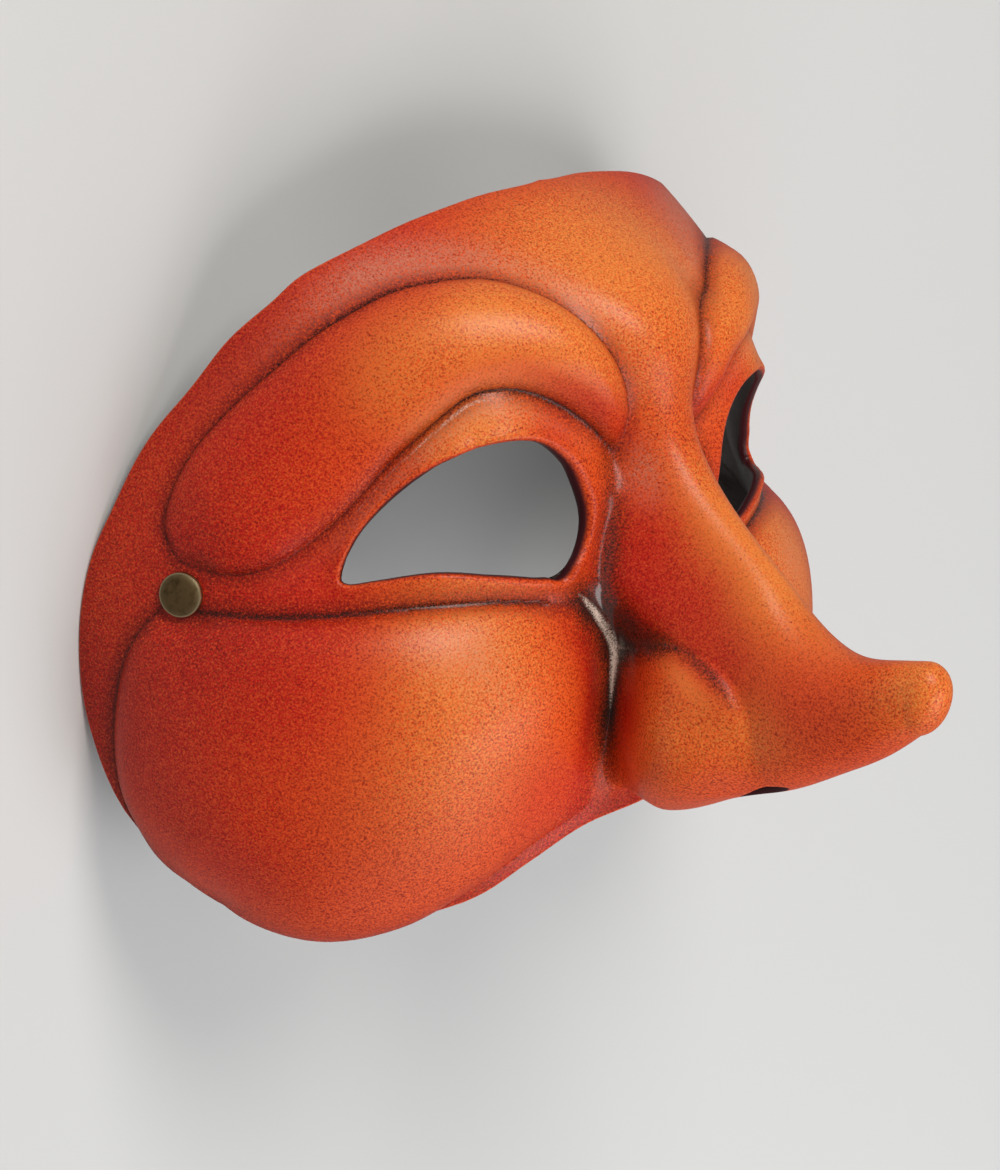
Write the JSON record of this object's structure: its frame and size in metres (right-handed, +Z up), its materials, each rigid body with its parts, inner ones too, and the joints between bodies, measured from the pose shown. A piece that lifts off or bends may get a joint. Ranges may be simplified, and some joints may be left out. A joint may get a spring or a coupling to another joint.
{
  "type": "commedia dell'arte half mask",
  "caption": "Moulded leather half mask with a long upturned nose, round cheeks, rolled brows, open eyes and a rivet at each temple.",
  "frame": {"origin": "under the middle of the mask's box, on the surface that it lies on", "axes": "+Z up out of the face, +Y towards the forehead, +X towards the wearer's left"},
  "size_m": [0.168, 0.1398, 0.1414],
  "materials": {
    "leather": "moulded leather, airbrushed orange red with dark creases, satin wax",
    "brass": "antique brass, lightly tarnished"
  },
  "bodies": {
    "root": {"leather_mask": "leather", "rivet_right": "brass", "rivet_left": "brass"}
  },
  "joints": []
}
